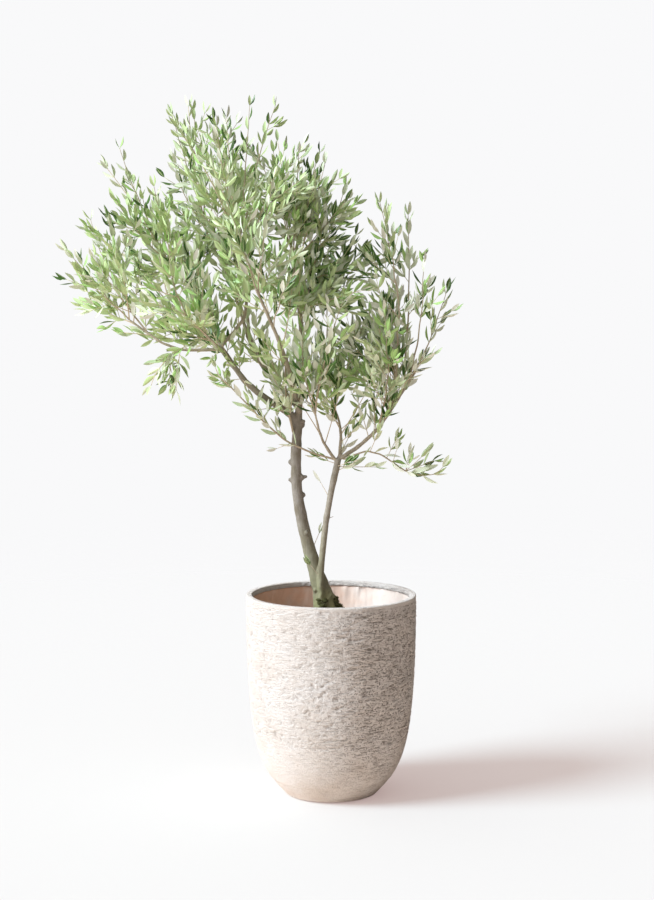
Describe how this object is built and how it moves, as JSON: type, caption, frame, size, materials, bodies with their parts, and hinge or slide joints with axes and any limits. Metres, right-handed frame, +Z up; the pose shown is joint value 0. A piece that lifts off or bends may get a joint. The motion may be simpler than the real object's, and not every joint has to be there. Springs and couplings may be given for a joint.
{
  "type": "potted olive tree",
  "caption": "Two-stemmed olive tree with an open crown of narrow leaves, leaning left out of a tall egg-shaped rough-cast planter.",
  "frame": {"origin": "centre of the planter's flat underside, on the floor", "axes": "+Z up the plant, +X towards the side that the second stem leans to, -Y towards the front"},
  "size_m": [0.9355, 0.5719, 1.64],
  "materials": {
    "planter": "matt cream rough-cast skin on fired clay, bare terracotta inside",
    "potting_mix": "damp crumbly potting mix",
    "bark": "fine matt grey-brown bark, greenish low down",
    "foliage": "satin olive-green leaf tops, matt silver undersides"
  },
  "bodies": {
    "root": {"pot": "planter", "soil": "potting_mix", "trunk": "bark", "second_stem": "bark", "bough_left": "bark", "bough_middle": "bark", "bough_leader": "bark", "bough_front": "bark", "bough_back": "bark", "shoot_trunk": "bark", "limb_left_low": "bark", "limb_left_high": "bark", "limb_left_front": "bark", "limb_left_back": "bark", "limb_top": "bark", "limb_middle_up": "bark", "limb_middle_back": "bark", "twig_left": "bark", "shoot_inner": "bark", "shoot_middle": "bark", "bough_right": "bark", "sprig_right": "bark", "leaves_limb_left_low_1": "foliage", "leaves_limb_left_low_2": "foliage", "leaves_limb_left_low_3": "foliage", "leaves_limb_left_low_4": "foliage", "leaves_limb_left_high_1": "foliage", "leaves_limb_left_high_2": "foliage", "leaves_limb_left_high_3": "foliage", "leaves_limb_left_front_1": "foliage", "leaves_limb_left_front_2": "foliage", "leaves_limb_left_back_1": "foliage", "leaves_limb_left_back_2": "foliage", "leaves_limb_top_1": "foliage", "leaves_limb_top_2": "foliage", "leaves_limb_top_3": "foliage", "leaves_limb_middle_up_1": "foliage", "leaves_limb_middle_up_2": "foliage", "leaves_limb_middle_back_1": "foliage", "leaves_bough_leader_1": "foliage", "leaves_bough_leader_2": "foliage", "leaves_bough_leader_3": "foliage", "leaves_bough_front_1": "foliage", "leaves_bough_front_2": "foliage", "leaves_bough_front_3": "foliage", "leaves_bough_back_1": "foliage", "leaves_bough_back_2": "foliage", "leaves_shoot_trunk_1": "foliage", "leaves_twig_left_1": "foliage", "leaves_shoot_inner_1": "foliage", "leaves_shoot_inner_2": "foliage", "leaves_shoot_middle_1": "foliage", "leaves_bough_right_1": "foliage", "leaves_bough_right_2": "foliage", "leaves_bough_right_3": "foliage", "leaves_bough_right_4": "foliage", "leaves_bough_right_5": "foliage", "leaves_bough_right_6": "foliage", "leaves_bough_right_7": "foliage", "leaves_sprig_right_1": "foliage"}
  },
  "joints": []
}
